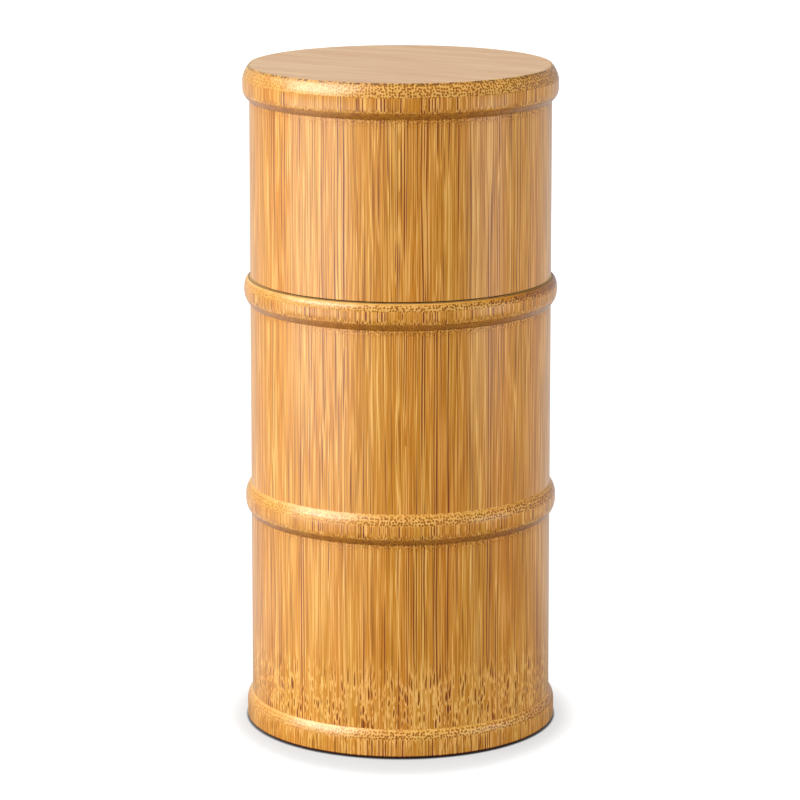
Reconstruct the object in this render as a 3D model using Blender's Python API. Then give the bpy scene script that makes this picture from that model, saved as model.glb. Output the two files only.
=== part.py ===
# Bamboo canister turned from natural culm: a beaded body, an inner neck with its seal, and a lift-off lid.
# Metres, +Z up. The origin is the middle of the foot, on the surface that the canister stands on.

import math

import bmesh
import bpy

# Outside of the culm
BEAD_RADIUS = 0.0450          # over the beads and the foot
BEAD_PROUD = 0.0017           # how far a bead stands out of the wall, halfway up
CULM_TAPER = 0.0025           # radius that the wall loses for each metre of height
BODY_HEIGHT = 0.1311          # foot to the rim under the seam
LID_HEIGHT = 0.0607           # seam to the top of the lid

# Wall and floor
WALL_THICKNESS = 0.0069       # natural wall of the culm, bored clean
FLOOR_THICKNESS = 0.0050      # diaphragm of the node, at its edge
FLOOR_UNDERSIDE = 0.0110      # height of the diaphragm's edge above the table
FLOOR_DISH = 0.0012           # how far the diaphragm dips at its middle
FLOOR_FILLET = 0.0035         # where the diaphragm runs into the wall

# Beads, from the outside down
SHOULDER_HEIGHT = 0.0040      # sloping top edge of the lid, round the board
SHOULDER_WIDTH = 0.0019
SHOULDER_BULGE = 0.0003       # how far it swells out of a straight slope
LID_BAND = 0.0021             # upright band below that edge
LID_BEAD_FOOT = 0.0040        # curve from the band back to the wall
RIM_BEAD_RISE = 0.0031        # from the crest of the body's top bead up to the seam
RIM_SETBACK = 0.0015          # how far the seam lies inside that crest
RIM_BEAD_FOOT = 0.0047        # from the crest down to the wall
MID_BEAD_HEIGHT = 0.0665      # crest of the middle bead above the table
MID_BEAD_HALF = 0.00445
FOOT_BAND = 0.0043            # top of the upright foot band above the table
FOOT_FLARE = 0.0040           # curve from the wall down to that band
FOOT_ROUND = 0.0009           # height of the rounded bottom edge
FOOT_UNDERCUT = 0.0006        # how far that edge turns in

# Neck, seal and lid socket
NECK_WALL = 0.0031
NECK_SEAT = 0.0140            # length glued into the mouth of the body
NECK_RISE = 0.0160            # length standing up into the lid
NECK_ROUND = 0.0010           # rounded top edge, which leads the lid on
SEAL_HEIGHT = 0.0085          # middle of the seal above the rim
SEAL_WIDTH = 0.0034
SEAL_THICKNESS = 0.0009       # band of the seal between its lips
SEAL_LIP = 0.0005             # how far the two lips stand out of that band
GROOVE_DEPTH = 0.0014
LIP_CLEARANCE = 0.0003        # lips to the socket of the lid
SOCKET_HEADROOM = 0.0010      # above the neck, so that the lid stops on the rim

# Top board
DISC_THICKNESS = 0.0050
RIM_LAND = 0.0002             # flat edge of the culm between the board's rebate and the shoulder
EDGE_BREAK = 0.0004           # small chamfer on sharp turned edges

JOINT_GAP = 0.0003            # between pieces that touch
SEGMENTS = 64                 # facets round the canister
CURVE_STEPS = 7               # points along one side of a bead

# Radii and heights that follow from the sizes above
BORE_RADIUS = BEAD_RADIUS - BEAD_PROUD - WALL_THICKNESS
NECK_RADIUS = BORE_RADIUS + NECK_WALL
SEAT_RADIUS = NECK_RADIUS + JOINT_GAP
GROOVE_RADIUS = NECK_RADIUS - GROOVE_DEPTH
SEAL_INNER = GROOVE_RADIUS + JOINT_GAP
SEAL_OUTER = SEAL_INNER + SEAL_THICKNESS
LIP_RADIUS = SEAL_OUTER + SEAL_LIP
SOCKET_RADIUS = LIP_RADIUS + LIP_CLEARANCE
REBATE_RADIUS = BEAD_RADIUS - SHOULDER_WIDTH - RIM_LAND
DISC_RADIUS = REBATE_RADIUS - JOINT_GAP
LID_BASE = BODY_HEIGHT + JOINT_GAP
CANISTER_HEIGHT = LID_BASE + LID_HEIGHT


def wall_radius(height):
    """Outer wall of the culm, which narrows evenly upwards about its middle height."""
    return BEAD_RADIUS - BEAD_PROUD + CULM_TAPER * (CANISTER_HEIGHT / 2 - height)


def bead_curve(crest, reach, base=0.0):
    """Points from a bead's crest to the wall, upwards for a positive reach.

    The crest is full and the foot runs out softly. The piece's own heights start at the height base.
    """
    points = []
    for step in range(CURVE_STEPS + 1):
        share = math.sin(math.pi / 2 * step / CURVE_STEPS)
        height = crest + reach * share
        swell = (1 - share ** 2.5) ** 1.2
        wall = wall_radius(base + height)
        points.append((wall + (BEAD_RADIUS - wall) * swell, height))
    return points


def quarter_round(level_end, upright_end, steps):
    """Quarter of an ellipse that leaves one (radius, height) point level and reaches the other upright."""
    points = []
    for step in range(steps + 1):
        turn = math.pi / 2 * step / steps
        radius = level_end[0] + (upright_end[0] - level_end[0]) * math.sin(turn)
        height = upright_end[1] + (level_end[1] - upright_end[1]) * math.cos(turn)
        points.append((radius, height))
    return points


def bulged_slope(start, end, bulge, steps):
    """Parabola between two (radius, height) points that stands out of their chord by the bulge."""
    run, drop = end[0] - start[0], start[1] - end[1]
    length = math.hypot(run, drop)
    points = []
    for step in range(steps + 1):
        share = step / steps
        out = 4 * bulge * share * (1 - share) / length
        points.append((start[0] + run * share + drop * out, start[1] - drop * share + run * out))
    return points


def dished_face(edge_radius, edge_height, steps=3):
    """Shallow hollow from the axis out to an edge, without the edge itself."""
    shares = [step / steps for step in range(steps)]
    return [(edge_radius * share, edge_height - FLOOR_DISH * (1 - share ** 2)) for share in shares]


def body_outline():
    crest = BODY_HEIGHT - RIM_BEAD_RISE
    seat_base = BODY_HEIGHT - NECK_SEAT - JOINT_GAP
    floor_top = FLOOR_UNDERSIDE + FLOOR_THICKNESS
    floor_radius = BORE_RADIUS - FLOOR_FILLET
    fillet_base = FLOOR_UNDERSIDE - FLOOR_FILLET
    underside_fillet = quarter_round((floor_radius, FLOOR_UNDERSIDE), (BORE_RADIUS, fillet_base), 3)
    foot_edge = quarter_round((BEAD_RADIUS - FOOT_UNDERCUT, 0), (BEAD_RADIUS, FOOT_ROUND), 3)
    outline = dished_face(floor_radius, floor_top)
    outline += quarter_round((floor_radius, floor_top), (BORE_RADIUS, floor_top + FLOOR_FILLET), 3)
    outline += [(BORE_RADIUS, seat_base), (SEAT_RADIUS, seat_base)]
    outline += [(SEAT_RADIUS, BODY_HEIGHT - EDGE_BREAK), (SEAT_RADIUS + EDGE_BREAK, BODY_HEIGHT)]
    outline += quarter_round((BEAD_RADIUS - RIM_SETBACK, BODY_HEIGHT), (BEAD_RADIUS, crest), 6)
    outline += bead_curve(crest, -RIM_BEAD_FOOT)[1:]
    outline += bead_curve(MID_BEAD_HEIGHT, MID_BEAD_HALF)[::-1]
    outline += bead_curve(MID_BEAD_HEIGHT, -MID_BEAD_HALF)[1:]
    outline += bead_curve(FOOT_BAND, FOOT_FLARE)[::-1]
    outline += foot_edge[::-1]
    outline += [(BORE_RADIUS + EDGE_BREAK, 0), (BORE_RADIUS, EDGE_BREAK)]
    outline += underside_fillet[::-1]
    outline += dished_face(floor_radius, FLOOR_UNDERSIDE)[::-1]
    return outline


def neck_outline():
    """Heights are counted from the rim of the body."""
    groove_low = SEAL_HEIGHT - SEAL_WIDTH / 2 - JOINT_GAP
    groove_high = SEAL_HEIGHT + SEAL_WIDTH / 2 + JOINT_GAP
    outline = [(BORE_RADIUS + EDGE_BREAK, NECK_RISE)]
    outline += quarter_round((NECK_RADIUS - NECK_ROUND, NECK_RISE), (NECK_RADIUS, NECK_RISE - NECK_ROUND), 3)
    outline += [(NECK_RADIUS, groove_high), (GROOVE_RADIUS, groove_high)]
    outline += [(GROOVE_RADIUS, groove_low), (NECK_RADIUS, groove_low)]
    outline += [(NECK_RADIUS, EDGE_BREAK - NECK_SEAT), (NECK_RADIUS - EDGE_BREAK, -NECK_SEAT)]
    outline += [(BORE_RADIUS, -NECK_SEAT), (BORE_RADIUS, NECK_RISE - EDGE_BREAK)]
    return outline


def seal_outline():
    """Heights are counted from the middle of the seal. Each lip is a ridge, two fifths of its width."""
    lip_half = SEAL_WIDTH / 5
    outline = [(SEAL_INNER, SEAL_WIDTH / 2)]
    for middle in (SEAL_WIDTH / 2 - lip_half, lip_half - SEAL_WIDTH / 2):
        outline += [(SEAL_OUTER, middle + lip_half), (LIP_RADIUS, middle + lip_half / 3)]
        outline += [(LIP_RADIUS, middle - lip_half / 3), (SEAL_OUTER, middle - lip_half)]
    outline += [(SEAL_INNER, -SEAL_WIDTH / 2)]
    return outline


def lid_outline():
    """Heights are counted from the lower edge of the lid."""
    shoulder_base = LID_HEIGHT - SHOULDER_HEIGHT
    crease = (BEAD_RADIUS - SHOULDER_WIDTH, LID_HEIGHT)
    ledge = LID_HEIGHT - DISC_THICKNESS - JOINT_GAP
    socket_top = NECK_RISE - JOINT_GAP + SOCKET_HEADROOM
    base_radius = wall_radius(LID_BASE)
    outline = [(REBATE_RADIUS, LID_HEIGHT)]
    outline += bulged_slope(crease, (BEAD_RADIUS, shoulder_base), SHOULDER_BULGE, CURVE_STEPS)
    outline += bead_curve(shoulder_base - LID_BAND, -LID_BEAD_FOOT, LID_BASE)
    outline += [(base_radius, EDGE_BREAK / 2), (base_radius - EDGE_BREAK / 2, 0)]
    outline += [(SOCKET_RADIUS + EDGE_BREAK, 0), (SOCKET_RADIUS, EDGE_BREAK)]
    outline += [(SOCKET_RADIUS, socket_top), (BORE_RADIUS, socket_top)]
    outline += [(BORE_RADIUS, ledge), (REBATE_RADIUS, ledge)]
    return outline


def disc_outline():
    """Heights are counted from the top of the lid."""
    break_half = EDGE_BREAK / 2
    return [
        (0, 0),
        (DISC_RADIUS - break_half, 0),
        (DISC_RADIUS, -break_half),
        (DISC_RADIUS, EDGE_BREAK - DISC_THICKNESS),
        (DISC_RADIUS - EDGE_BREAK, -DISC_THICKNESS),
        (0, -DISC_THICKNESS),
    ]


def finish(name, color, roughness):
    """Plain material of one kind of piece. The colour is linear."""
    material = bpy.data.materials.new(name)
    material.use_nodes = True
    shader = material.node_tree.nodes["Principled BSDF"]
    shader.inputs["Base Color"].default_value = (*color, 1.0)
    shader.inputs["Roughness"].default_value = roughness
    shader.inputs["Metallic"].default_value = 0.0
    return material


def turn_on_lathe(name, outline, material, carrier, height):
    """Spins an outline of (radius, height) points about Z into one closed solid, placed on its carrier."""
    mesh = bpy.data.meshes.new(name)
    shape = bmesh.new()
    points = [shape.verts.new((radius, 0, z)) for radius, z in outline]
    edges = [shape.edges.new(pair) for pair in zip(points, points[1:])]
    if outline[0][0] > 0:
        edges.append(shape.edges.new((points[-1], points[0])))
    bmesh.ops.spin(shape, geom=points + edges, cent=(0, 0, 0), axis=(0, 0, 1), angle=2 * math.pi,
                   steps=SEGMENTS, use_merge=True)
    bmesh.ops.remove_doubles(shape, verts=shape.verts, dist=1e-6)
    bmesh.ops.recalc_face_normals(shape, faces=shape.faces)
    shape.to_mesh(mesh)
    shape.free()
    mesh.shade_smooth()
    mesh.set_sharp_from_angle(angle=math.radians(35))
    mesh.materials.append(material)
    piece = bpy.data.objects.new(name, mesh)
    bpy.context.collection.objects.link(piece)
    piece.parent = carrier
    piece.location.z = height
    return piece


def carrier_at(name, height, parent=None):
    """Empty on the canister's axis that carries the pieces which move together."""
    empty = bpy.data.objects.new(name, None)
    bpy.context.collection.objects.link(empty)
    empty.parent = parent
    empty.location.z = height
    return empty


for old in list(bpy.data.objects):
    bpy.data.objects.remove(old, do_unlink=True)

body_finish = finish("turned_body_culm", (0.520, 0.245, 0.045), 0.42)
lid_finish = finish("turned_lid_culm", (0.520, 0.245, 0.045), 0.42)
sleeve_finish = finish("pale_bamboo", (0.640, 0.410, 0.165), 0.55)
board_finish = finish("sanded_board", (0.560, 0.355, 0.200), 0.5)
seal_finish = finish("silicone", (0.815, 0.807, 0.761), 0.35)

canister = carrier_at("canister", 0.0)
seal = carrier_at("seal", BODY_HEIGHT + SEAL_HEIGHT, canister)
lid = carrier_at("lid", LID_BASE - BODY_HEIGHT - SEAL_HEIGHT, seal)

turn_on_lathe("body_culm", body_outline(), body_finish, canister, 0.0)
turn_on_lathe("neck_sleeve", neck_outline(), sleeve_finish, canister, BODY_HEIGHT)
turn_on_lathe("seal_ring", seal_outline(), seal_finish, seal, 0.0)
turn_on_lathe("lid_culm", lid_outline(), lid_finish, lid, 0.0)
turn_on_lathe("lid_top_disc", disc_outline(), board_finish, lid, LID_HEIGHT)
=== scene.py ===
import math

import bpy
import numpy as np
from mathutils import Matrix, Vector


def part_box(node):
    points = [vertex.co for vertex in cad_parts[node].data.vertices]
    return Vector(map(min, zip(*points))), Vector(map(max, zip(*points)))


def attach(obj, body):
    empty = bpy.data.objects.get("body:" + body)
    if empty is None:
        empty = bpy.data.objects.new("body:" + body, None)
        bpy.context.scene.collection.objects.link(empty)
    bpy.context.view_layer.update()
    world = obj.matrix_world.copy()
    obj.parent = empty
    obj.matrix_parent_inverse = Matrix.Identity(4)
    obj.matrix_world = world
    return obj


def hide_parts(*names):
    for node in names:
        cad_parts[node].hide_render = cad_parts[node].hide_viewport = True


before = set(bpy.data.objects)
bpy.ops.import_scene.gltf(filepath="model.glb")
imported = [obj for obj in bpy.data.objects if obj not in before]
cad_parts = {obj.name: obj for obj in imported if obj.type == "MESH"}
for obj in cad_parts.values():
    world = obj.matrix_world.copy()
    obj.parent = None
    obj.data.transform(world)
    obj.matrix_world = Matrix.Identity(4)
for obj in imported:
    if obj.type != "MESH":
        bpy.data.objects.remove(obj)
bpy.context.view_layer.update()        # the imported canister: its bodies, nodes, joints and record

mm = 0.001                                      # sizes below are in millimetres
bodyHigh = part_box("body_culm")[1] / mm
neckLow, neckHigh = (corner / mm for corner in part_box("neck_sleeve"))
sealLow, sealHigh = (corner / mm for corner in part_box("seal_ring"))
lidLow, lidHigh = (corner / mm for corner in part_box("lid_culm"))
discLow, discHigh = (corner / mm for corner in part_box("lid_top_disc"))
print("frame loaded")


# Surfaces

# Corners of an open outline give way to short parabolas that leave both sides at "ease" from the corner:
# point = (1 - s)^2 x start + 2 s (1 - s) x corner + s^2 x end, with s from 0 to 1. The two ends stay sharp.
# A point a little further out on each side keeps the shading of the flats beside them flat.
def easeCorners(corners, ease=0.15, steps=4, further=1.5):
    corners = np.asarray(corners, float)
    middle = corners[1:-1]
    toBack = corners[:-2] - middle
    toFront = corners[2:] - middle
    toBack *= ease / np.linalg.norm(toBack, axis=1, keepdims=True)
    toFront *= ease / np.linalg.norm(toFront, axis=1, keepdims=True)
    start, corner, end = (middle + toBack)[:, None], middle[:, None], (middle + toFront)[:, None]
    s = np.linspace(0, 1, steps + 1)[None, :, None]
    eased = (1 - s) ** 2 * start + 2 * s * (1 - s) * corner + s ** 2 * end
    eased = np.concatenate([corner + further * toBack[:, None], eased, corner + further * toFront[:, None]],
                           axis=1)
    return np.vstack([corners[:1], eased.reshape(-1, 2), corners[-1:]])


# Quarter of an ellipse: the radius goes with sin(turn) from the level end, the height with cos(turn) to the
# upright end.
def quarterRound(levelEnd, uprightEnd, steps=14):
    turn = np.linspace(0, np.pi / 2, steps + 1)
    radius = levelEnd[0] + (uprightEnd[0] - levelEnd[0]) * np.sin(turn)
    height = uprightEnd[1] + (levelEnd[1] - uprightEnd[1]) * np.cos(turn)
    return np.column_stack([radius, height])


# Parabola between two (radius, height) points that stands out of their chord: out = 4 x bulge x s (1 - s).
def bulgedSlope(start, end, bulge, steps=16):
    start, end = np.array(start, float), np.array(end, float)
    s = np.linspace(0, 1, steps + 1)[:, None]
    run, rise = (end - start) / np.linalg.norm(end - start)
    return start + (end - start) * s + 4 * bulge * s * (1 - s) * np.array([-rise, run])


# Shallow dish from the axis to its edge: height = edge height - depth x (1 - (radius / edge radius)^2).
def dishedFace(edgeRadius, edgeHeight, depth, steps=24):
    share = np.linspace(0, 1, steps + 1)
    return np.column_stack([edgeRadius * share, edgeHeight - depth * (1 - share ** 2)])


# Stretches of an outline, each with the number of its finish, become one outline without repeated points.
def joinStretches(*stretches):
    outline = np.vstack([points for points, finish in stretches])
    finishes = np.concatenate([np.full(len(points), finish) for points, finish in stretches])
    step = np.linalg.norm(np.diff(outline, axis=0), axis=1)
    kept = np.r_[step > 1e-4, True]
    return outline[kept], finishes[kept]


# An outline of (radius, height) rows is turned about Z: x = radius cos(turn), y = radius sin(turn),
# z = height. It runs down the outer side, so the faces point outwards. An end on the axis closes in one
# vertex, and an outline away from the axis closes on itself.
def turnPiece(name, outline, finishes, materials, body, slot, rounds=384):
    turn = np.linspace(0, 2 * np.pi, rounds, endpoint=False)
    onAxis = outline[0, 0] < 1e-6
    rings = outline[1:-1] if onAxis else outline
    radius, height = rings[:, :1], rings[:, 1:]
    points = np.stack([radius * np.cos(turn), radius * np.sin(turn), height + 0 * turn], axis=2)
    numbers = np.arange(len(rings) * rounds).reshape(len(rings), rounds)
    ringFinishes = finishes[1:-1] if onAxis else finishes
    if not onAxis:
        numbers = np.vstack([numbers, numbers[:1]])
    here, there = numbers[:-1], numbers[1:]
    quads = np.stack([here, there, np.roll(there, -1, axis=1), np.roll(here, -1, axis=1)], axis=2)
    faces = quads.reshape(-1, 4).tolist()
    faceFinishes = np.repeat(ringFinishes[:len(here)], rounds)
    points = points.reshape(-1, 3)
    if onAxis:
        pole = np.full(rounds, len(points))
        first, last = numbers[0], numbers[-1]
        faces += np.column_stack([pole, first, np.roll(first, -1)]).tolist()
        faces += np.column_stack([pole + 1, np.roll(last, -1), last]).tolist()
        faceFinishes = np.r_[faceFinishes, np.repeat(finishes[[0, -1]], rounds)]
        points = np.vstack([points, [[0, 0, outline[0, 1]], [0, 0, outline[-1, 1]]]])
    mesh = bpy.data.meshes.new(name)
    mesh.from_pydata((points * mm).tolist(), [], faces)
    for material in materials:
        mesh.materials.append(material)
    mesh.polygons.foreach_set("material_index", faceFinishes.astype(np.int32))
    mesh.shade_smooth()
    mesh.update()
    piece = bpy.data.objects.new("dressed_" + name, mesh)
    bpy.context.scene.collection.objects.link(piece)
    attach(piece, body)
    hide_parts(name)
    print(name, "has", len(faces), "faces")


# Materials

# sRGB hex code to linear light: share / 12.92 when dark, otherwise ((share + 0.055) / 1.055)^2.4
def linear(hexCode):
    share = np.array([int(hexCode[i:i + 2], 16) for i in (1, 3, 5)]) / 255
    straight = np.where(share <= 0.04045, share / 12.92, ((share + 0.055) / 1.055) ** 2.4)
    return (*straight.tolist(), 1.0)


# Adds one node. Settings are its own fields, stops are a ramp's (place, colour) pairs, both ends first. Feeds
# go to its sockets in order, or by name or number: a node or socket is linked, anything else is set there.
def addNode(tree, kind, feeds=(), stops=(), **settings):
    node = tree.nodes.new("ShaderNode" + kind)
    for field, value in settings.items():
        setattr(node, field, value)
    for key, feed in (feeds if isinstance(feeds, dict) else dict(enumerate(feeds))).items():
        if isinstance(feed, bpy.types.Node):
            feed = feed.outputs[0]
        if isinstance(feed, bpy.types.NodeSocket):
            tree.links.new(feed, node.inputs[key])
        else:
            node.inputs[key].default_value = feed
    for number, (place, tone) in enumerate(stops):
        points = node.color_ramp.elements
        point = points[number] if number < 2 else points.new(place)
        point.position = place
        point.color = tone if isinstance(tone, tuple) else (tone, tone, tone, 1.0)
    return node


def newMaterial(name):
    material = bpy.data.materials.new(name)
    material.use_nodes = True
    material.node_tree.nodes.clear()
    return material, material.node_tree


# Place on the piece in millimetres, and what it is read from
def placeOn(tree):
    source = addNode(tree, "TexCoord")
    spot = addNode(tree, "VectorMath", [source.outputs["Object"], (1 / mm,) * 3], operation="MULTIPLY")
    return spot, source


# Culm, turned and bored: a culm is pale pith full of dark fibre bundles, each with a pale rim, that all run
# along it. Where a turned face lies along them they show as streaks that come and go over centimetres, and
# where it slopes up across them, above the beads, as dots, which are laid out on the unrolled barrel. In the
# node they weave about, which leaves dashes, short in its middle and longer above and below. Light and shade
# are painted in as well: a painted sheen makes the dots faint and pale on the left, painted shade makes the
# slopes more brown on the right and darkens the beads' undersides, the wall below them, the joint and the
# foot's edge, and faces that look up get a painted highlight. Lengths are in millimetres, and x runs to the
# right as the camera sees it.
culmFacts = {
    "bundleGap": 0.68,               # between neighbours near the skin
    "scatter": 0.92,                 # 0 would be a square grid
    "bundleRadius": (0.13, 0.25),
    "drift": 1.8,                    # slow wander of the bundles on their way along the culm
    "driftGrain": (7.0, 7.0, 60.0),
    "dotGap": 0.80,
    "dotScatter": 0.68,
    "dotRadius": (0.27, 0.36),
    "barrel": 44.5,                  # radius on which the slopes are unrolled for the dots
    "slope": (0.08, 0.20),           # upright share of the normal where streaks give way to dots
    "crown": (0.56, 0.70),           # and where dots give way to plain pith, painted pale there as a highlight
    "nodeHeight": 14.0,
    "nodeReach": (17.0, 6.0),        # no dashes beyond the first, all of them within the second
    "dashCell": 0.86,                # across
    "dashTurns": 2.0,                # cells along, as the angle of (height from the node / dashSpread)
    "dashSpread": 8.0,
    "dashRadius": (0.22, 0.34),
    "weave": 0.60,
    "weaveGrain": (1.8, 1.8, 3.2),
    "fibreGrain": (0.30, 0.30, 24.0),
    "bandGrain": (2.6, 2.6, 80.0),
    "hueGrain": (6.0, 6.0, 120.0),
    # heights, and how much painted shade falls just below each bead, with both ends first; the dots fray
    # there too
    "coves": ((59.6, 0.0), (192.1, 0.0), (62.0, 1.0), (62.8, 0.0), (120.8, 0.0), (123.2, 1.0), (124.0, 0.0),
              (179.4, 0.0), (181.9, 1.0), (182.7, 0.0)),
    "joint": (131.02, 131.08, 131.46, 131.50),    # heights of the joint of body and lid, where painted shade darkens the gap
    "footEdge": (0.95, 0.55),        # heights over which painted shade darkens the edge that it stands on
    "rimRight": (6.0, 34.0),         # x over which painted shade makes the body's rim more brown on the right
    "rimTop": (129.1, 130.0),        # and the heights
    "rightSlopeShade": (28.0, 42.0),         # x over which painted shade makes all slopes more brown
    "paintedSheenSpan": (-5.0, -26.0),        # x over which a painted sheen fades the dots and makes the pith pale
    # upright share of the normal, and how much painted shade darkens a bead's underside there, with both ends
    # first: brown painted shade facing down and none facing up, after a thin pale line of painted highlight
    "underside": ((-1.0, 1.0), (1.0, 0.3), (-0.42, 1.0), (-0.35, 0.0), (-0.26, 0.3)),
    "underEven": 0.3,                # what leaves the tone as it is
}


def culmMaterial(name, facts, looks):
    material, tree = newMaterial(name)
    spot, place = placeOn(tree)
    axes = addNode(tree, "SeparateXYZ", [spot])

    def grainNoise(grain, detail):
        squeezed = addNode(tree, "VectorMath", [spot, grain], operation="DIVIDE")
        return addNode(tree, "TexNoise", {"Vector": squeezed, "Scale": 1.0, "Detail": detail})

    # moved place = place + depth x (noise - 1/2), in all three directions
    def moved(grain, depth):
        push = addNode(tree, "VectorMath", [grainNoise(grain, 1.0).outputs["Color"], (depth,) * 3, spot],
                       operation="MULTIPLY_ADD")
        return addNode(tree, "VectorMath", [push, (-depth / 2,) * 3], operation="ADD")

    # What the bundle of a cell adds to the tone: middle in its own radius, pale round it, beyond further out.
    # Share is the distance from the bundle's middle in its own radii. The ramp covers three of them.
    def bundleTone(cells, radius, cell, middle=0.0, beyond=0.5):
        luck = addNode(tree, "SeparateXYZ", [cells.outputs["Color"]])
        narrow, wide = (length / cell for length in radius)
        own = addNode(tree, "MapRange", [luck.outputs["Z"], 0.0, 1.0, narrow, wide])
        share = addNode(tree, "Math", [cells.outputs["Distance"], own], operation="DIVIDE")
        thirds = addNode(tree, "Math", [share, 1 / 3], operation="MULTIPLY")
        shape = addNode(tree, "ValToRGB", [thirds],
                        stops=[(0.18, middle), (1.0, beyond), (0.32, 0.44), (0.40, 0.90), (0.47, 0.86),
                               (0.58, beyond)])
        return addNode(tree, "Math", [shape, 0.5], operation="SUBTRACT"), luck.outputs["X"]

    # streaks: one bundle in each cell of the cross-section
    streaks = addNode(tree, "TexVoronoi", {"Vector": moved(facts["driftGrain"], facts["drift"]),
                                           "Scale": 1 / facts["bundleGap"], "Randomness": facts["scatter"]},
                      voronoi_dimensions="2D")
    streak, streakLuck = bundleTone(streaks, facts["bundleRadius"], facts["bundleGap"])
    rare = addNode(tree, "Math", [streakLuck, looks["streakRarity"]], operation="POWER")
    streakForce = addNode(tree, "MapRange", [rare, 0.0, 1.0, *looks["streakForce"]])

    # dots: their ends on slopes, on the unrolled barrel: way round = barrel x turn from the front
    turn = addNode(tree, "Math", [axes.outputs["X"], addNode(tree, "Math", [axes.outputs["Y"], -1.0],
                                                             operation="MULTIPLY")], operation="ARCTAN2")
    around = addNode(tree, "Math", [turn, facts["barrel"]], operation="MULTIPLY")
    dotSpot = addNode(tree, "CombineXYZ", [around, axes.outputs["Z"]])
    dots = addNode(tree, "TexVoronoi", {"Vector": dotSpot, "Scale": 1 / facts["dotGap"],
                                        "Randomness": facts["dotScatter"]}, voronoi_dimensions="2D")
    dot, dotLuck = bundleTone(dots, facts["dotRadius"], facts["dotGap"], 0.12, 0.70)
    dotForce = addNode(tree, "MapRange", [dotLuck, 0.0, 1.0, *looks["dotForce"]])

    # dashes of the node: cell along = dashTurns x arctangent(height from the node / dashSpread)
    height = addNode(tree, "Math", [axes.outputs["Z"], facts["nodeHeight"]], operation="SUBTRACT")
    turns = addNode(tree, "Math", [addNode(tree, "Math", [height, 1 / facts["dashSpread"]],
                                           operation="MULTIPLY")], operation="ARCTANGENT")
    along = addNode(tree, "Math", [turns, facts["dashTurns"]], operation="MULTIPLY")
    woven = addNode(tree, "SeparateXYZ", [addNode(tree, "VectorMath", [
        moved(facts["weaveGrain"], facts["weave"]), (1 / facts["dashCell"],) * 3], operation="MULTIPLY")])
    dashSpot = addNode(tree, "CombineXYZ", [woven.outputs["X"], woven.outputs["Y"], along])
    dashes = addNode(tree, "TexVoronoi", {"Vector": dashSpot, "Scale": 1.0})
    dash, dashLuck = bundleTone(dashes, facts["dashRadius"], facts["dashCell"])
    dashForce = addNode(tree, "MapRange", [dashLuck, 0.0, 1.0, *looks["dashForce"]])
    fromNode = addNode(tree, "Math", [height], operation="ABSOLUTE")
    inNode = addNode(tree, "MapRange", [fromNode, *facts["nodeReach"], 0.0, 1.0],
                     interpolation_type="SMOOTHSTEP")
    streakInNode = addNode(tree, "MapRange", [inNode, 0.0, 1.0, 1.0, looks["streakInNode"]])

    # which of them shows where: dots also fray the top of the wall below a bead
    top = max(level for level, dark in facts["coves"])
    heightShare = addNode(tree, "Math", [axes.outputs["Z"], 1 / top], operation="MULTIPLY")
    # painted shade just below each bead, by height; the same ramp frays the dots there
    coves = addNode(tree, "ValToRGB", [heightShare],
                    stops=[(level / top, dark) for level, dark in facts["coves"]])
    fray = addNode(tree, "Math", [coves, looks["frayPower"]], operation="POWER")
    facing = addNode(tree, "SeparateXYZ", [place.outputs["Normal"]]).outputs["Z"]
    sloping = addNode(tree, "MapRange", [facing, *facts["slope"], 0.0, 1.0], interpolation_type="SMOOTHSTEP")
    upright = addNode(tree, "Math", [1.0, sloping], operation="SUBTRACT")
    crown = addNode(tree, "MapRange", [facing, *facts["crown"], 0.0, 1.0], interpolation_type="SMOOTHSTEP")
    # painted shade on the undersides of the beads, after a thin line of painted highlight; the grain fades
    # there too
    under = addNode(tree, "ValToRGB", [addNode(tree, "Math", [facing, 0.5, 0.5], operation="MULTIPLY_ADD")],
                    stops=[(share / 2 + 0.5, dark) for share, dark in facts["underside"]])
    grainUnder = addNode(tree, "MapRange", [under, facts["underEven"], 1.0, 1.0, looks["undersideGrain"]])
    streakHere = addNode(tree, "Math", [streak, addNode(tree, "Math", [streakForce, streakInNode],
                                                        operation="MULTIPLY")], operation="MULTIPLY")
    dashHere = addNode(tree, "Math", [dash, addNode(tree, "Math", [dashForce, inNode],
                                                    operation="MULTIPLY")], operation="MULTIPLY")
    alongGrain = addNode(tree, "Math", [addNode(tree, "Math", [streakHere, dashHere], operation="ADD"),
                                        grainUnder], operation="MULTIPLY")
    offCrown = addNode(tree, "Math", [1.0, crown], operation="SUBTRACT")
    # painted sheen on the left: the dots fade and the pith is painted pale there
    clear = addNode(tree, "MapRange", [axes.outputs["X"], *facts["paintedSheenSpan"], 1.0, looks["paintedSheenDots"]])
    dotClear = addNode(tree, "Math", [dot, clear], operation="MULTIPLY")
    sheenPaleness = addNode(tree, "MapRange", [axes.outputs["X"], *facts["paintedSheenSpan"], 0.0, looks["paintedSheenPale"]])
    acrossGrain = addNode(tree, "Math", [dotClear, addNode(tree, "Math", [dotForce, offCrown],
                                                           operation="MULTIPLY"), sheenPaleness],
                          operation="MULTIPLY_ADD")
    dotShare = addNode(tree, "Math", [sloping, fray], operation="MAXIMUM")
    bundles = addNode(tree, "Mix", {0: dotShare, 2: alongGrain, 3: acrossGrain}, data_type="FLOAT")

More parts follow.
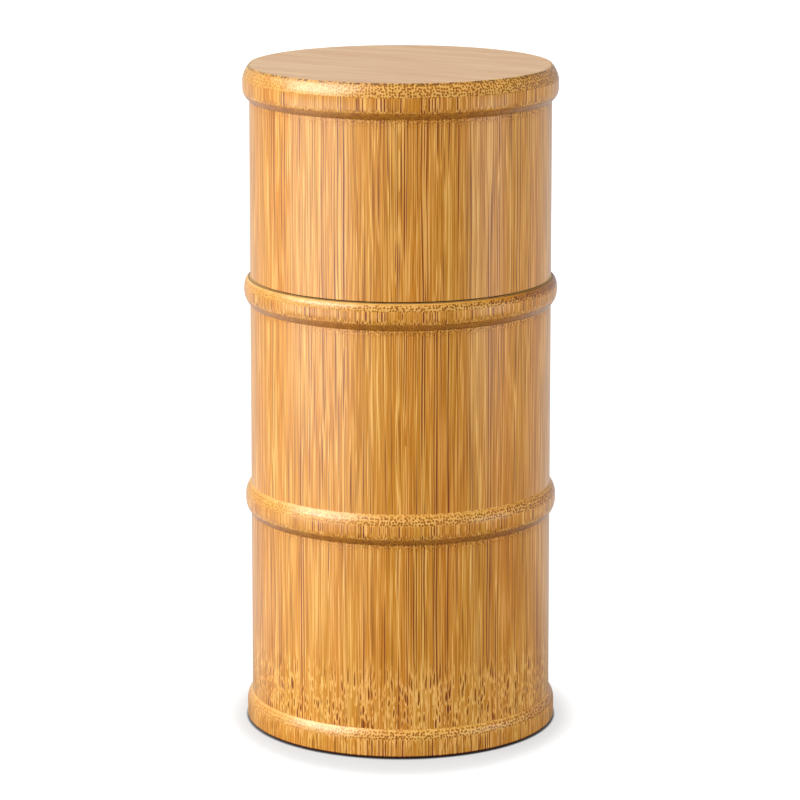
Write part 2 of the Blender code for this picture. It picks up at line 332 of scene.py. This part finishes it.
    # fine fibres and soft bands in the pith, the fibres only where the face is upright
    fibres = addNode(tree, "Math", [grainNoise(facts["fibreGrain"], 2.0), 0.5], operation="SUBTRACT")
    fibreForce = addNode(tree, "Math", [upright, looks["fibreForce"]], operation="MULTIPLY")
    bands = addNode(tree, "Math", [grainNoise(facts["bandGrain"], 2.0), looks["bandForce"],
                                   0.5 - 0.5 * looks["bandForce"]], operation="MULTIPLY_ADD")
    pithTone = addNode(tree, "Math", [fibres, fibreForce, bands], operation="MULTIPLY_ADD")
    # faces that look up get a painted highlight
    clean = addNode(tree, "Math", [addNode(tree, "Math", [bundles, pithTone], operation="ADD"),
                                   addNode(tree, "Math", [crown, looks["crownPaintedHighlight"]], operation="MULTIPLY")],
                    operation="ADD")

    # painted shade, with a thin painted highlight under the beads: just below the beads, on their undersides,
    # on the right of the rim and of the slopes, in the joint and along the foot's edge
    undersideShade = addNode(tree, "Math", [addNode(tree, "Math", [under, facts["underEven"]],
                                                operation="SUBTRACT"),
                                        looks["undersidePaintedShade"]], operation="MULTIPLY")
    # painted shade in the joint of body and lid and along the foot's edge
    jointLow = addNode(tree, "MapRange", [axes.outputs["Z"], *facts["joint"][:2], 0.0, 1.0])
    jointHigh = addNode(tree, "MapRange", [axes.outputs["Z"], *facts["joint"][2:], 1.0, 0.0])
    footEdge = addNode(tree, "MapRange", [axes.outputs["Z"], *facts["footEdge"], 0.0, 1.0])
    edges = addNode(tree, "Math", [jointLow, jointHigh, footEdge], operation="MULTIPLY_ADD")
    # painted shade on the right of the body's rim, under the joint
    onRight = addNode(tree, "MapRange", [axes.outputs["X"], *facts["rimRight"], 0.0, looks["rimPaintedShade"]])
    onRim = addNode(tree, "MapRange", [axes.outputs["Z"], *facts["rimTop"], 0.0, 1.0])
    rimShade = addNode(tree, "Math", [onRight, addNode(tree, "Math", [onRim, jointHigh],
                                                      operation="MULTIPLY")], operation="MULTIPLY")
    # painted shade on the slopes to the right
    rightSlopeShade = addNode(tree, "MapRange", [axes.outputs["X"], *facts["rightSlopeShade"], 0.0, looks["slopePaintedShade"]])
    onSlopes = addNode(tree, "Math", [sloping, rightSlopeShade, undersideShade], operation="MULTIPLY_ADD")
    onBeads = addNode(tree, "Math", [onSlopes, rimShade], operation="ADD")
    soft = addNode(tree, "Math", [coves, looks["covePaintedShade"], onBeads], operation="MULTIPLY_ADD")
    paintedShade = addNode(tree, "Math", [edges, looks["edgePaintedShade"], soft], operation="MULTIPLY_ADD")
    tone = addNode(tree, "Math", [clean, paintedShade], operation="SUBTRACT")

    joint, streakTone, dark, pith, pale = (linear(looks[part])
                                           for part in ("joint", "streak", "bundle", "pith", "rim"))
    grain = addNode(tree, "ValToRGB", [addNode(tree, "Math", [tone, 0.5, 0.5], operation="MULTIPLY_ADD")],
                    stops=[(0.12, joint), (1.0, pale), (0.22, streakTone), (0.42, streakTone), (0.5, dark),
                           (0.75, pith)])
    hue = addNode(tree, "ValToRGB", [grainNoise(facts["hueGrain"], 1.0)],
                  stops=[(0.35, linear(looks["warmBand"])), (0.65, linear(looks["paleBand"]))])
    tinted = addNode(tree, "Mix", {0: 1.0, 6: grain, 7: hue}, data_type="RGBA", blend_type="MULTIPLY")
    endTint = addNode(tree, "Mix", {0: sloping, 6: tinted.outputs[2], 7: linear(looks["endGrain"])},
                      data_type="RGBA", blend_type="MULTIPLY")
    colour = endTint.outputs[2]

    # glue in the joint round the board: a thin line, broken into dots
    if "glue" in looks:
        fromAxis = addNode(tree, "VectorMath", [addNode(tree, "CombineXYZ", [axes.outputs["X"],
                                                                             axes.outputs["Y"]])],
                           operation="LENGTH")
        inJoint = addNode(tree, "MapRange", [fromAxis.outputs["Value"], looks["glueEdge"],
                                             looks["glueEdge"] - 0.12, 0.0, 1.0])
        atTop = addNode(tree, "Math", [axes.outputs["Z"], lidHigh.z - 1.0], operation="GREATER_THAN")
        breaks = addNode(tree, "MapRange", [grainNoise((looks["glueGrain"],) * 3, 0.0), 0.45, 0.56,
                                            looks["glueLeast"], 1.0])
        glue = addNode(tree, "Math", [addNode(tree, "Math", [inJoint, atTop], operation="MULTIPLY"), breaks],
                       operation="MULTIPLY")
        colour = addNode(tree, "Mix", {0: glue, 6: colour, 7: linear(looks["glue"])},
                         data_type="RGBA").outputs[2]

    rough = addNode(tree, "MapRange", [tone, 0.2, 0.8, looks["roughness"][1], looks["roughness"][0]])
    relief = addNode(tree, "Bump", {"Strength": looks["relief"], "Distance": 0.03 * mm, "Height": tone})
    shader = addNode(tree, "BsdfPrincipled", {
        "Base Color": colour, "Roughness": rough, "Normal": relief, "IOR": looks["ior"],
        "Coat Weight": looks["coat"], "Coat Roughness": looks["coatRoughness"], "Coat IOR": 1.53,
    })
    addNode(tree, "OutputMaterial", [shader])
    return material


# Moso culm, turned smooth and brushed with satin clear lacquer: an amber glow with soft broad reflections.
lacqueredLooks = {
    # darkest colour: the painted shade of the joint and the foot's edge, and the darkest streaks
    "joint": "#2A0700",
    "streak": "#803400",
    "bundle": "#8C4E02",
    "pith": "#CE8716",
    "rim": "#F6C06C",
    "streakRarity": 1.6,
    "streakForce": (0.30, 1.9),
    "streakInNode": 0.8,
    "dotForce": (0.9, 1.25),
    # painted sheen on the left: how faint the dots get and how pale the pith
    "paintedSheenDots": 0.45,
    "paintedSheenPale": 0.09,
    "dashForce": (0.8, 1.6),
    "fibreForce": 1.5,
    "frayPower": 1.6,
    # painted highlight on faces that look up, then painted shade below and under the beads, in the joint, at
    # the foot's edge and on the right
    "crownPaintedHighlight": 0.30,
    "covePaintedShade": 0.14,
    "undersidePaintedShade": 0.30,
    "undersideGrain": 0.2,
    "edgePaintedShade": 1.8,
    "rimPaintedShade": 0.34,
    "slopePaintedShade": 0.26,
    "bandForce": 0.45,
    "warmBand": "#FCF3EA",
    "paleBand": "#FEFFF6",
    "endGrain": "#F6FCFC",
    "roughness": (0.46, 0.56),
    "relief": 0.25,
    "ior": 1.2,                      # the wood meets the lacquer, not the air
    "coat": 1.0,
    "coatRoughness": 0.28,
}
lacqueredCulm = culmMaterial("moso_culm_turned_satin_lacquer", culmFacts, lacqueredLooks)
lidLooks = dict(lacqueredLooks)
lidLooks.update({
    "glue": "#7A4E1E",
    "glueEdge": lidHigh.x - 1.44,    # radius where the glue line ends on the slope
    "glueGrain": 0.7,
    "glueLeast": 0.15,
})
lacqueredLid = culmMaterial("moso_culm_turned_satin_lacquer_with_glue_line", culmFacts, lidLooks)

# The same culm bored and left raw: paler and quite matt.
rawLooks = dict(lacqueredLooks)
rawLooks.update({
    "joint": "#5E3E18",
    "streak": "#7A5424",
    "bundle": "#8E6530",
    "pith": "#D2AC70",
    "rim": "#E8CC96",
    # no painted highlight or painted shade on the raw culm
    "crownPaintedHighlight": 0.0,
    "covePaintedShade": 0.0,
    "undersidePaintedShade": 0.0,
    "undersideGrain": 1.0,
    "edgePaintedShade": 0.0,
    "rimPaintedShade": 0.0,
    "slopePaintedShade": 0.0,
    "roughness": (0.62, 0.72),
    "relief": 0.6,
    "ior": 1.45,
    "coat": 0.0,
})
rawCulm = culmMaterial("moso_culm_bored_raw", culmFacts, rawLooks)
print("culm materials made")


# Diaphragm of a node, planed thin: woody brown, with coarse fibres that run every way.
diaphragmLooks = {
    "patch": 7.0,
    "fibre": 1.1,
    "dark": "#8F6234",
    "light": "#D2A468",
    "roughness": (0.62, 0.78),
}


def diaphragmMaterial(name, looks):
    material, tree = newMaterial(name)
    spot, place = placeOn(tree)
    patches = addNode(tree, "TexNoise", {"Vector": spot, "Scale": 1 / looks["patch"], "Detail": 4.0})
    fibres = addNode(tree, "TexNoise", {"Vector": spot, "Scale": 1 / looks["fibre"], "Detail": 3.0,
                                        "Distortion": 1.4})
    tone = addNode(tree, "Math", [patches.outputs[0], fibres.outputs[0]], operation="MULTIPLY")
    grain = addNode(tree, "ValToRGB", [tone],
                    stops=[(0.12, linear(looks["dark"])), (0.36, linear(looks["light"]))])
    rough = addNode(tree, "MapRange", [tone, 0.1, 0.4, looks["roughness"][1], looks["roughness"][0]])
    relief = addNode(tree, "Bump", {"Strength": 0.5, "Distance": 0.15 * mm, "Height": tone})
    shader = addNode(tree, "BsdfPrincipled", {"Base Color": grain, "Roughness": rough, "Normal": relief,
                                              "IOR": 1.45})
    addNode(tree, "OutputMaterial", [shader])
    return material


diaphragm = diaphragmMaterial("bamboo_diaphragm_planed", diaphragmLooks)

# Bamboo board, sanded flat and lacquered: fine wavy fibres that lie slantwise, and a pinkish tan.
boardLooks = {
    "slant": math.radians(29),
    "waveGrain": 11.0,
    "waveDepth": 4.0,
    "fibreGrain": (11.0, 0.55, 11.0),
    "bandGrain": (50.0, 5.0, 50.0),
    "dark": "#CBA881",
    "light": "#D8B692",
    "darkBand": "#F4E8DE",
    "lightBand": "#FFFFFA",
    "roughness": (0.40, 0.50),
}


def boardMaterial(name, looks):
    material, tree = newMaterial(name)
    place = addNode(tree, "TexCoord")
    turned = addNode(tree, "Mapping", {"Vector": place.outputs["Object"], "Rotation": (0, 0, looks["slant"]),
                                       "Scale": (1 / mm,) * 3})
    waves = addNode(tree, "TexNoise", {"Vector": turned, "Scale": 1 / looks["waveGrain"], "Detail": 2.0})
    wave = addNode(tree, "VectorMath", [waves.outputs["Color"], (0, looks["waveDepth"], 0), turned],
                   operation="MULTIPLY_ADD")
    fibreSpot = addNode(tree, "VectorMath", [wave, looks["fibreGrain"]], operation="DIVIDE")
    fibres = addNode(tree, "TexNoise", {"Vector": fibreSpot, "Scale": 1.0, "Detail": 3.0, "Roughness": 0.65})
    grain = addNode(tree, "ValToRGB", [fibres.outputs[0]],
                    stops=[(0.3, linear(looks["dark"])), (0.68, linear(looks["light"]))])
    bandSpot = addNode(tree, "VectorMath", [wave, looks["bandGrain"]], operation="DIVIDE")
    bands = addNode(tree, "TexNoise", {"Vector": bandSpot, "Scale": 1.0, "Detail": 1.0})
    bandTint = addNode(tree, "ValToRGB", [bands.outputs[0]],
                       stops=[(0.3, linear(looks["darkBand"])), (0.7, linear(looks["lightBand"]))])
    banded = addNode(tree, "Mix", {0: 1.0, 6: grain, 7: bandTint}, data_type="RGBA", blend_type="MULTIPLY")
    rough = addNode(tree, "MapRange", [fibres.outputs[0], 0.3, 0.7, looks["roughness"][1],
                                       looks["roughness"][0]])
    relief = addNode(tree, "Bump", {"Strength": 0.2, "Distance": 0.03 * mm, "Height": fibres.outputs[0]})
    shader = addNode(tree, "BsdfPrincipled", {"Base Color": banded.outputs[2], "Roughness": rough,
                                              "Normal": relief, "IOR": 1.47})
    addNode(tree, "OutputMaterial", [shader])
    return material


board = boardMaterial("bamboo_board_sanded_lacquered", boardLooks)

# Silicone, moulded: milky white, soft gloss, light sinks in a little. Its grain is the mould's fine blasting.
siliconeLooks = {
    "colour": "#E9E8E1",
    "shade": "#DDDBD2",
    "grit": 0.25,
    "roughness": (0.38, 0.46),
}


def siliconeMaterial(name, looks):
    material, tree = newMaterial(name)
    spot, place = placeOn(tree)
    grit = addNode(tree, "TexNoise", {"Vector": spot, "Scale": 1 / looks["grit"], "Detail": 2.0})
    haze = addNode(tree, "TexNoise", {"Vector": spot, "Scale": 0.12, "Detail": 2.0})
    tint = addNode(tree, "ValToRGB", [haze.outputs[0]],
                   stops=[(0.35, linear(looks["shade"])), (0.65, linear(looks["colour"]))])
    rough = addNode(tree, "MapRange", [grit.outputs[0], 0.3, 0.7, *looks["roughness"]])
    relief = addNode(tree, "Bump", {"Strength": 0.2, "Distance": 0.02 * mm, "Height": grit.outputs[0]})
    shader = addNode(tree, "BsdfPrincipled", {
        "Base Color": tint, "Roughness": rough, "Normal": relief, "IOR": 1.41,
        "Subsurface Weight": 0.35, "Subsurface Radius": (1.2, 1.1, 1.0), "Subsurface Scale": 1.0 * mm,
    })
    addNode(tree, "OutputMaterial", [shader])
    return material


silicone = siliconeMaterial("silicone_moulded_milky", siliconeLooks)
print("other materials made")


# Turned outside of the culm, shared by body and lid
culm = {
    "beadRadius": bodyHigh.x,
    "beadProud": 1.7,
    "taper": 0.0025,
    "height": lidHigh.z,
    "wall": 6.9,
}
boreRadius = culm["beadRadius"] - culm["beadProud"] - culm["wall"]


# wall radius = bead radius - proud + taper x (half the canister's height - height)
def wallRadius(height):
    return culm["beadRadius"] - culm["beadProud"] + culm["taper"] * (culm["height"] / 2 - height)


# One side of a bead, from its crest to the wall: share = sin(quarter turn x step / steps),
# height = crest + reach x share, radius = wall + (bead radius - wall) x (1 - share^2.8)^1.1.
# Two rings a little further out keep the shading of the wall flat.
def beadSide(crest, reach, steps=26):
    share = np.r_[np.sin(np.linspace(0, np.pi / 2, steps + 1)), 1.03, 1.10]
    height = crest + reach * share
    wall = wallRadius(height)
    swell = np.clip(1 - share ** 2.8, 0, 1) ** 1.1
    return np.column_stack([wall + (culm["beadRadius"] - wall) * swell, height])


# Body: lacquered outside (finish 0), raw bore (1), diaphragm (2)
body = {
    "floorUnderside": 11.0,
    "floor": 5.0,
    "dish": 1.2,
    "fillet": 3.5,
    "seatGap": 0.05,             # glue line round the neck sleeve
    "rimRise": 3.1,
    "rimSetback": 1.5,
    "rimFoot": 4.7,
    "midHeight": 66.5,
    "midHalf": 4.45,
    "footBand": 4.3,
    "footFlare": 4.0,
    "footRound": 0.9,
    "footUndercut": 0.8,
}


def bodyOutline():
    rim = bodyHigh.z
    crest = rim - body["rimRise"]
    seatRadius = neckHigh.x + body["seatGap"]
    seatBase = neckLow.z - body["seatGap"]
    floorTop = body["floorUnderside"] + body["floor"]
    floorRadius = boreRadius - body["fillet"]
    beadRadius = culm["beadRadius"]
    seat = [(boreRadius, floorTop + body["fillet"]), (boreRadius, seatBase), (seatRadius, seatBase),
            (seatRadius, rim), (beadRadius - body["rimSetback"], rim)]
    footEdge = quarterRound((beadRadius - body["footUndercut"], 0), (beadRadius, body["footRound"]))
    footRing = [footEdge[0], (boreRadius, 0), (boreRadius, body["floorUnderside"] - body["fillet"])]
    underFillet = quarterRound((floorRadius, body["floorUnderside"]),
                               (boreRadius, body["floorUnderside"] - body["fillet"]))
    return joinStretches(
        (dishedFace(floorRadius, floorTop, body["dish"]), 2),
        (quarterRound((floorRadius, floorTop), (boreRadius, floorTop + body["fillet"])), 2),
        (easeCorners(seat, 0.3), 1),
        (quarterRound((beadRadius - body["rimSetback"], rim), (beadRadius, crest)), 0),
        (beadSide(crest, -body["rimFoot"]), 0),
        (beadSide(body["midHeight"], body["midHalf"])[::-1], 0),
        (beadSide(body["midHeight"], -body["midHalf"]), 0),
        (beadSide(body["footBand"], body["footFlare"])[::-1], 0),
        (footEdge[::-1], 0),
        (easeCorners(footRing, 0.4), 1),
        (underFillet[::-1], 2),
        (dishedFace(floorRadius, body["floorUnderside"], body["dish"])[::-1], 2),
    )


turnPiece("body_culm", *bodyOutline(), [lacqueredCulm, rawCulm, diaphragm], "canister", "turned_culm")

# Neck sleeve, with the groove for the seal
neck = {
    "wall": 3.1,
    "topRound": 1.0,
    "grooveDepth": 1.4,
    "grooveGap": 0.3,
}


def neckOutline():
    outer, top, base = neckHigh.x, neckHigh.z, neckLow.z
    inner = outer - neck["wall"]
    bottom = outer - neck["grooveDepth"]
    grooveHigh = sealHigh.z + neck["grooveGap"]
    grooveLow = sealLow.z - neck["grooveGap"]
    outside = [(outer, top - neck["topRound"]), (outer, grooveHigh), (bottom, grooveHigh),
               (bottom, grooveLow), (outer, grooveLow), (outer, base), (inner, base), (inner, top),
               (outer - neck["topRound"], top)]
    return joinStretches(
        (quarterRound((outer - neck["topRound"], top), (outer, top - neck["topRound"])), 0),
        (easeCorners(outside, 0.2), 0),
    )


neckRows, neckFinishes = neckOutline()
turnPiece("neck_sleeve", neckRows[:-1], neckFinishes[:-1], [rawCulm], "canister", "pale_bamboo")

# Seal ring: a band with two round lips, radius = band + lip x cos(across x quarter turn)^1.4
seal = {
    "band": 0.9,
    "lip": 0.5,
    "edge": 0.15,
}


def sealOutline(steps=20):
    inner = sealHigh.x - seal["lip"] - seal["band"]
    middle = (sealLow.z + sealHigh.z) / 2
    width = sealHigh.z - sealLow.z
    lipHalf = width / 5
    outline = []
    for lipMiddle in (middle + width / 2 - lipHalf, middle - width / 2 + lipHalf):
        across = np.linspace(1, -1, steps + 1)
        swell = np.cos(across * np.pi / 2) ** 1.4
        outline.append(np.column_stack([inner + seal["band"] + seal["lip"] * swell,
                                        lipMiddle + lipHalf * across]))
    back = [outline[-1][-1], (inner, sealLow.z), (inner, sealHigh.z), outline[0][0]]
    return joinStretches((np.vstack(outline), 0), (easeCorners(back, seal["edge"]), 0))


sealRows, sealFinishes = sealOutline()
turnPiece("seal_ring", sealRows[:-1], sealFinishes[:-1], [silicone], "seal", "silicone")

# Lid: lacquered outside (finish 0), raw socket and bore (1)
lid = {
    "shoulderHeight": 4.0,
    "shoulderWidth": 1.9,
    "shoulderBulge": 0.3,
    "band": 2.1,
    "beadFoot": 4.0,
    "baseRound": 0.15,           # lower edge, over the seam
    "socketGap": 0.6,
    "headroom": 1.0,
    "rebateGap": 0.3,
    "boardGap": 0.3,
    "glueLine": 0.04,            # between the board and its rebate
}


def lidOutline():
    top, base = lidHigh.z, lidLow.z
    beadRadius = culm["beadRadius"]
    shoulderBase = top - lid["shoulderHeight"]
    socketRadius = neckHigh.x + lid["socketGap"]
    socketTop = neckHigh.z + lid["headroom"]
    rebateRadius = discHigh.x + lid["rebateGap"]
    ledge = discLow.z - lid["boardGap"]
    crest = shoulderBase - lid["band"]
    foot = beadSide(crest, -lid["beadFoot"])
    baseRadius = wallRadius(base)
    baseEdge = quarterRound((baseRadius - lid["baseRound"], base), (baseRadius, base + lid["baseRound"]), 8)
    inside = [baseEdge[0], (socketRadius, base), (socketRadius, socketTop), (boreRadius, socketTop),
              (boreRadius, ledge), (rebateRadius, ledge), (rebateRadius, top),
              (beadRadius - lid["shoulderWidth"], top)]
    return joinStretches(
        (bulgedSlope((beadRadius - lid["shoulderWidth"], top), (beadRadius, shoulderBase),
                     lid["shoulderBulge"]), 0),
        (foot, 0),
        (baseEdge[::-1], 0),
        (easeCorners(inside, 0.06), 1),
    )


lidRows, lidFinishes = lidOutline()
turnPiece("lid_culm", lidRows[:-1], lidFinishes[:-1], [lacqueredLid, rawCulm], "lid", "turned_culm")


# Top board
def discOutline():
    outer, top, base = discHigh.x + lid["rebateGap"] - lid["glueLine"], discHigh.z, discLow.z
    corners = [(0, top), (outer, top), (outer, base), (0, base)]
    return joinStretches((easeCorners(corners, 0.25), 0))


turnPiece("lid_top_disc", *discOutline(), [board], "lid", "sanded_board")
print("pieces made")


# Studio

# White sweep: a diffuse floor keeps the shadow round the foot, and what the camera sees of it is lifted to
# white, wholly a few centimetres away and not at all under the canister. The lift stays low near the foot and
# further out to the front, which paints a shadow there, so the lift is read at the distance of (x, depth x
# y).
studio = {
    "floorSize": 6.0,
    "floorColour": "#787878",
    # low lifts near the foot paint its shadow
    "lift": ((37.0, 0.35), (100.0, 1.0), (38.6, 0.54), (44.5, 0.58), (47.0, 0.63), (49.3, 0.74), (51.5, 0.84),
             (54.0, 0.94), (57.0, 1.0)),
    "liftDepth": 0.83,
    "foot": (45.0, 45.6),        # no lift within the first, all of it beyond the second
    "skyFill": 1.07,             # light of the sky on the object
    "gloss": 0.50,               # white that reflections meet behind
    "leftGloss": 1.1,            # and on the floor at the left
    "floorLeft": (-0.17, -0.05), # x over which that fades
    "floorTurn": (-0.06, 0.16),  # metres from front to behind
    "skyTurn": (-0.20, 0.30),    # the same for the direction in the sky
    "skyRise": (0.34, 0.55),     # and for its rise, over which the lit sweep ends
}


# How much of the white a ray meets: all for the camera, fill for diffuse rays, gloss for reflections. The
# lacquer reflects a lit sweep behind the canister and the floor under the left lamps, and darkness elsewhere.
def whiteSeen(tree, gloss, fill):
    rays = addNode(tree, "LightPath")
    direct = addNode(tree, "Math", [rays.outputs["Is Camera Ray"], rays.outputs["Is Transmission Ray"]],
                     operation="MAXIMUM")
    other = addNode(tree, "MapRange", [rays.outputs["Is Glossy Ray"], 0.0, 1.0, fill, gloss])
    return addNode(tree, "Math", [direct, other], operation="MAXIMUM")


def makeFloor():
    material, tree = newMaterial("paper_sweep_matt_white")
    lit = addNode(tree, "BsdfDiffuse", [linear(studio["floorColour"])])
    place = addNode(tree, "TexCoord")
    away = addNode(tree, "VectorMath", [place.outputs["Object"]], operation="LENGTH")
    beyondFoot = addNode(tree, "MapRange", [away.outputs["Value"], *(edge * mm for edge in studio["foot"])])
    squeezed = addNode(tree, "VectorMath", [place.outputs["Object"], (1, studio["liftDepth"], 1)],
                       operation="MULTIPLY")
    reach = addNode(tree, "VectorMath", [squeezed], operation="LENGTH")
    furthest = max(distance for distance, lift in studio["lift"])
    share = addNode(tree, "Math", [reach.outputs["Value"], 1 / (furthest * mm)], operation="MULTIPLY")
    lift = addNode(tree, "ValToRGB", [share],
                   stops=[(distance / furthest, lift) for distance, lift in studio["lift"]])
    strength = addNode(tree, "Math", [lift, beyondFoot], operation="MULTIPLY")
    spot = addNode(tree, "SeparateXYZ", [place.outputs["Object"]])
    left = addNode(tree, "MapRange", [spot.outputs["X"], *studio["floorLeft"], studio["leftGloss"], 0.0],
                   interpolation_type="SMOOTHSTEP")
    gloss = addNode(tree, "MapRange", [spot.outputs["Y"], *studio["floorTurn"], left, studio["gloss"]],
                    interpolation_type="SMOOTHSTEP")
    seen = addNode(tree, "Math", [strength, whiteSeen(tree, gloss, 0.0)], operation="MULTIPLY")
    glow = addNode(tree, "Emission", [(1, 1, 1, 1), seen])
    addNode(tree, "OutputMaterial", [addNode(tree, "AddShader", [lit, glow])])
    half = studio["floorSize"] / 2
    mesh = bpy.data.meshes.new("floor")
    corners = [(-half, -half, 0), (half, -half, 0), (half, half, 0), (-half, half, 0)]
    mesh.from_pydata(corners, [], [(0, 1, 2, 3)])
    mesh.materials.append(material)
    floor = bpy.data.objects.new("floor", mesh)
    bpy.context.scene.collection.objects.link(floor)


def makeSky():
    world = bpy.data.worlds.new("white_studio")
    bpy.context.scene.world = world
    world.use_nodes = True
    tree = world.node_tree
    tree.nodes.clear()
    way = addNode(tree, "SeparateXYZ", [addNode(tree, "TexCoord").outputs["Object"]])
    low = addNode(tree, "MapRange", [way.outputs["Z"], *studio["skyRise"], 1.0, 0.0])
    behind = addNode(tree, "MapRange", [way.outputs["Y"], *studio["skyTurn"], 0.0, studio["gloss"]])
    gloss = addNode(tree, "Math", [low, behind], operation="MULTIPLY")
    strength = whiteSeen(tree, gloss, studio["skyFill"])
    sky = addNode(tree, "Background", [(1, 1, 1, 1), strength])
    addNode(tree, "OutputWorld", [sky])


# Softboxes, aimed at the canister's middle. Azimuth is turned from the front towards the right, brightness
# is a multiple of white paper. The sheen panel is seen in the lacquer only and doesn't raise the light.
lamps = {
    "keyPanel": {"azimuth": -60, "elevation": 48, "away": 1.0, "size": (0.50, 0.50), "brightness": 3.0},
    "sidePanel": {"azimuth": -95, "elevation": 38, "away": 1.0, "size": (0.60, 0.30), "brightness": 2.0},
    "rimPanel": {"azimuth": -68, "elevation": 30, "away": 1.0, "size": (0.50, 0.22), "brightness": 5.0},
    "lowPanel": {"azimuth": -62, "elevation": 0, "away": 0.32, "size": (0.32, 0.16), "brightness": 2.3},
    "rightPanel": {"azimuth": 66, "elevation": 2, "away": 0.32, "size": (0.18, 0.16), "brightness": 1.65},
    "sheenPanel": {"azimuth": -66, "elevation": 36, "away": 0.9, "size": (0.80, 0.54), "brightness": 5.4,
                   "diffuse": False},
}


# power = brightness x pi x area, so that brightness 1 is a sheet of white paper in full light
def makeLamp(name, facts):
    light = bpy.data.lights.new(name, "AREA")
    light.shape = "RECTANGLE"
    light.size, light.size_y = facts["size"]
    light.energy = facts["brightness"] * math.pi * light.size * light.size_y
    azimuth, elevation = math.radians(facts["azimuth"]), math.radians(facts["elevation"])
    toLamp = Vector((math.sin(azimuth) * math.cos(elevation), -math.cos(azimuth) * math.cos(elevation),
                     math.sin(elevation)))
    lamp = bpy.data.objects.new(name, light)
    bpy.context.scene.collection.objects.link(lamp)
    lamp.location = Vector((0, 0, culm["height"] * mm / 2)) + facts["away"] * toLamp
    lamp.rotation_euler = (-toLamp).to_track_quat("-Z", "Y").to_euler()
    lamp.visible_camera = False
    lamp.visible_diffuse = facts.get("diffuse", True)


makeFloor()
makeSky()
for name, facts in lamps.items():
    makeLamp(name, facts)

# Camera of the photo, fitted to the outline of the canister and to its rings
camera = {
    "at": (0.0, -1.02795, 0.32286),
    "pitch": math.radians(12.539),     # below the horizon
    "focal": 3634.9,                   # in pixels of the 800 pixel wide frame
    "aside": 0.6,                      # pixels that the canister stands right of the frame's middle
    "frame": 800,
    "sensor": 36.0,
}
lens = bpy.data.cameras.new("camera")
lens.sensor_width = camera["sensor"]
lens.lens = camera["focal"] / camera["frame"] * camera["sensor"]
lens.shift_x = -camera["aside"] / camera["frame"]
view = bpy.data.objects.new("camera", lens)
bpy.context.scene.collection.objects.link(view)
view.location = camera["at"]
view.rotation_euler = (math.pi / 2 - camera["pitch"], 0, 0)
bpy.context.scene.camera = view
bpy.context.scene.view_settings.view_transform = "Standard"
print("studio made")
